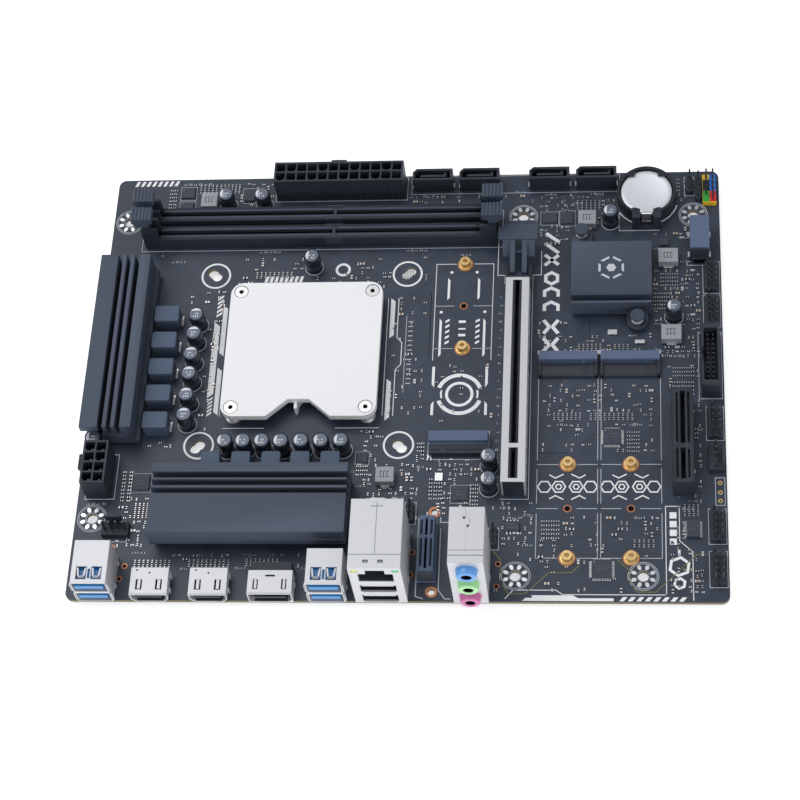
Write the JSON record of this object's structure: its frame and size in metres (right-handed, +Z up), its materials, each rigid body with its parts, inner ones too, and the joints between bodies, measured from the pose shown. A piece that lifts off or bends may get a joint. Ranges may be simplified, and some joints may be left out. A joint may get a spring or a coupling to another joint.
{
  "type": "motherboard",
  "caption": "Micro-ATX computer motherboard with a soldered processor under a plate, finned heatsinks, memory, card and drive slots, and rear connectors.",
  "frame": {"origin": "centre of the rear middle mounting hole at the board's underside", "axes": "+X along the rear edge away from the processor power corner, +Y from the rear connectors towards the memory slots, +Z up out of the component side"},
  "size_m": [0.24, 0.1888, 0.035],
  "materials": {
    "board_laminate": "satin black solder mask over glass-fibre laminate",
    "package_green": "satin green package substrate",
    "white_plate": "fine matt light plate",
    "steel": "bright tinned sheet steel",
    "black_plastic": "moulded black",
    "slate_plastic": "moulded dark slate",
    "blue_grey_plastic": "moulded blue-grey",
    "gold_contact": "gold flash over brass",
    "heatsink_grey": "blue-grey anodised",
    "pad_grey": "soft silicone pad",
    "ferrite": "painted ferrite block",
    "cap_can": "bright drawn can",
    "inductor_grey": "matt pressed powder",
    "port_blue": "moulded blue",
    "jack_plastic": "moulded in pink, lime and light blue",
    "chip_epoxy": "moulded epoxy"
  },
  "bodies": {
    "board": {"pcb": "board_laminate", "cpu_package": "package_green", "spreader_plate": "white_plate", "spreader_posts": "steel", "spreader_screws": "steel", "dimm_slot_near": "black_plastic", "dimm_slot_far": "black_plastic", "pcie_x16_housing": "black_plastic", "pcie_x16_shield": "steel", "pcie_x4_housing": "black_plastic", "wifi_slot": "blue_grey_plastic", "m2_slot_middle": "blue_grey_plastic", "m2_slot_left": "blue_grey_plastic", "m2_slot_right": "blue_grey_plastic", "m2_standoffs": "gold_contact", "atx_power_header": "black_plastic", "cpu_power_header": "black_plastic", "power_header_pins": "gold_contact", "sata_port_1": "black_plastic", "sata_port_2": "black_plastic", "sata_port_3": "black_plastic", "sata_port_4": "black_plastic", "battery_holder": "black_plastic", "battery_contact": "steel", "chipset_package": "package_green", "chipset_heatsink": "heatsink_grey", "push_pin_spring_left": "steel", "push_pin_spring_right": "steel", "left_vrm_heatsink": "heatsink_grey", "rear_vrm_heatsink": "heatsink_grey", "vrm_thermal_pads": "pad_grey", "vrm_mosfets": "chip_epoxy", "vrm_chokes": "ferrite", "polymer_capacitors": "cap_can", "power_inductors": "inductor_grey", "usb3_shells": "steel", "usb3_tongues": "port_blue", "hdmi_shells": "steel", "displayport_shell": "steel", "display_tongues": "black_plastic", "lan_usb_shell": "steel", "lan_usb_insert": "black_plastic", "audio_housing": "steel", "audio_jacks": "jack_plastic", "header_bases": "black_plastic", "header_pins": "gold_contact", "usb3_header": "black_plastic", "fan_headers": "black_plastic", "front_usb_c_header": "blue_grey_plastic", "ic_packages": "chip_epoxy", "crystals": "steel"},
    "latch_near_left": {"dimm_latch_near_left": "slate_plastic"},
    "latch_near_right": {"dimm_latch_near_right": "slate_plastic"},
    "latch_far_left": {"dimm_latch_far_left": "slate_plastic"},
    "latch_far_right": {"dimm_latch_far_right": "slate_plastic"},
    "card_latch": {"pcie_x16_latch": "slate_plastic"},
    "coin_cell": {"battery_cell": "steel"},
    "cell_catch": {"battery_catch": "steel"},
    "pin_left": {"push_pin_left": "black_plastic"},
    "pin_right": {"push_pin_right": "black_plastic"}
  },
  "joints": [
    {"name": "dimm_latch_near_left_hinge", "type": "hinge", "parent": "board", "child": "latch_near_left", "pos_m": [-0.14733, 0.14524, 0.0061], "axis": [0, -1, 0], "range_deg": [0, 20]},
    {"name": "dimm_latch_near_right_hinge", "type": "hinge", "parent": "board", "child": "latch_near_right", "pos_m": [-0.01183, 0.14524, 0.0061], "axis": [0, 1, 0], "range_deg": [0, 20]},
    {"name": "dimm_latch_far_left_hinge", "type": "hinge", "parent": "board", "child": "latch_far_left", "pos_m": [-0.14733, 0.15404, 0.0061], "axis": [0, -1, 0], "range_deg": [0, 20]},
    {"name": "dimm_latch_far_right_hinge", "type": "hinge", "parent": "board", "child": "latch_far_right", "pos_m": [-0.01183, 0.15404, 0.0061], "axis": [0, 1, 0], "range_deg": [0, 20]},
    {"name": "pcie_latch_hinge", "type": "hinge", "parent": "board", "child": "card_latch", "pos_m": [-0.00108, 0.12504, 0.0058], "axis": [-1, 0, 0], "range_deg": [0, 20]},
    {"name": "battery_lift", "type": "hinge", "parent": "board", "child": "coin_cell", "pos_m": [0.04797, 0.16999, 0.0072], "axis": [-1, 0, 0], "range_deg": [0, 20]},
    {"name": "battery_catch_flex", "type": "hinge", "parent": "board", "child": "cell_catch", "pos_m": [0.04797, 0.15164, 0.00262], "axis": [1, 0, 0], "range_deg": [0, 8], "stiffness_Nm_per_rad": 0.05},
    {"name": "push_pin_left_press", "type": "slide", "parent": "board", "child": "pin_left", "axis": [0, 0, 1], "range_m": [-0.0015, 0], "stiffness_N_per_m": 400, "springref_m": 0.001, "deforming": ["push_pin_spring_left"]},
    {"name": "push_pin_right_press", "type": "slide", "parent": "board", "child": "pin_right", "axis": [0, 0, 1], "range_m": [-0.0015, 0], "stiffness_N_per_m": 400, "springref_m": 0.001, "deforming": ["push_pin_spring_right"]}
  ]
}
